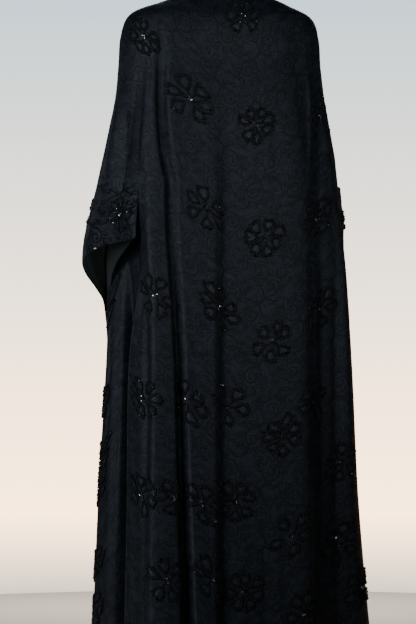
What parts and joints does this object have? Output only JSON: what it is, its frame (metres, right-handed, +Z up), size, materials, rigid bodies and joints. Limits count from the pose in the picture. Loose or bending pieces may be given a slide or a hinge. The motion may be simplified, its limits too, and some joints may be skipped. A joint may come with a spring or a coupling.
{
  "type": "abaya cloak",
  "caption": "Long open-front black abaya cloak with wide kimono-cut sleeves, hanging as worn, with scattered raised applique flowers.",
  "frame": {"origin": "middle of the shoulder line, level with the sides of the neck opening, where the wearer's shoulders hold the cloak", "axes": "+Z up, +X to the wearer's left, the open front faces -Y and the back faces +Y"},
  "size_m": [0.6096, 0.4934, 1.4873],
  "materials": {
    "jacquard_back": "black self-patterned jacquard with a low satin sheen",
    "jacquard_front_left": "black self-patterned jacquard with a low satin sheen",
    "jacquard_front_right": "black self-patterned jacquard with a low satin sheen",
    "neck_binding": "black satin binding"
  },
  "bodies": {
    "root": {"back": "jacquard_back", "front_left": "jacquard_front_left", "front_right": "jacquard_front_right", "neck_band": "neck_binding"}
  },
  "joints": []
}
